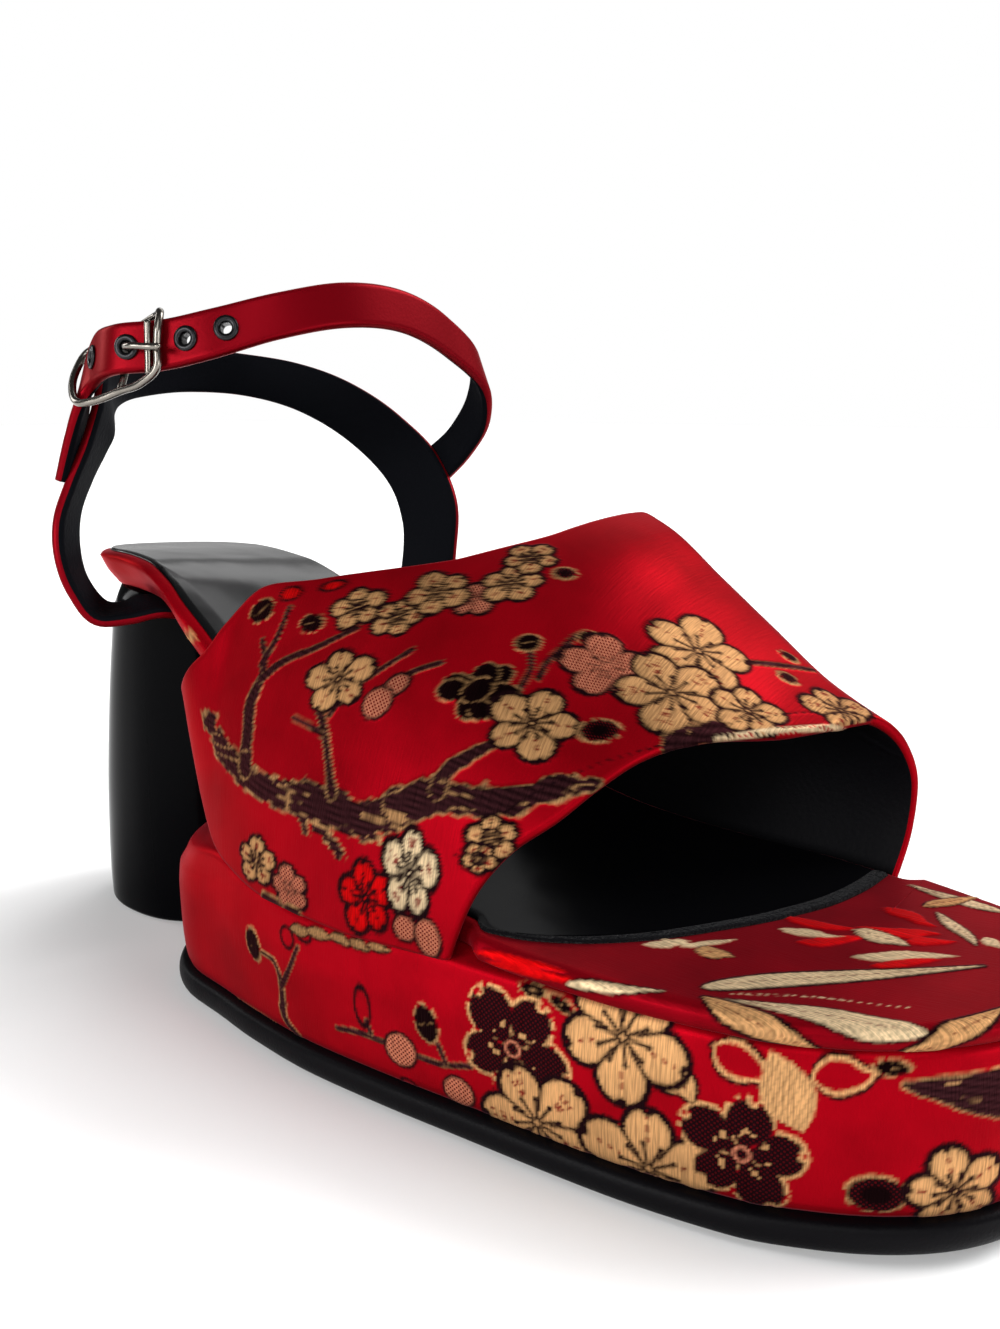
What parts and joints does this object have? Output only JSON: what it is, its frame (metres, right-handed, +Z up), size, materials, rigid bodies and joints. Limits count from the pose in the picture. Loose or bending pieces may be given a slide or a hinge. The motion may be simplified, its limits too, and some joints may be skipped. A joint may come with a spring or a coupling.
{
  "type": "platform sandal",
  "caption": "Right-foot platform sandal with a covered platform, block heel, wide open-toe brocade vamp and a buckled ankle strap.",
  "frame": {"origin": "on the floor under the middle of the foot, on the flat underside of the outsole", "axes": "+X to the wearer's right (outer side), +Y from heel to toe, +Z up; the shoe stands on Z = 0"},
  "size_m": [0.0962, 0.2567, 0.1642],
  "materials": {
    "rubber": "matt black tread rubber",
    "brocade_wall": "red satin brocade over the platform",
    "brocade_bed": "red satin brocade over the footbed edge",
    "sock_leather": "soft black lining with a low sheen",
    "heel_lacquer": "gloss black lacquer",
    "brocade_vamp": "red satin brocade with woven blossom branches",
    "strap_satin": "red satin with a charcoal lining",
    "buckle_steel": "plated wire",
    "eyelet_black": "black lacquered eyelet"
  },
  "bodies": {
    "root": {"outsole": "rubber", "platform": "brocade_wall", "insole": "brocade_bed", "insole_sock": "sock_leather", "heel": "heel_lacquer", "vamp": "brocade_vamp", "ankle_strap": "strap_satin", "buckle_frame": "buckle_steel", "buckle_prong": "buckle_steel", "eyelet_1": "eyelet_black", "eyelet_2": "eyelet_black", "eyelet_3": "eyelet_black", "eyelet_4": "eyelet_black"}
  },
  "joints": []
}
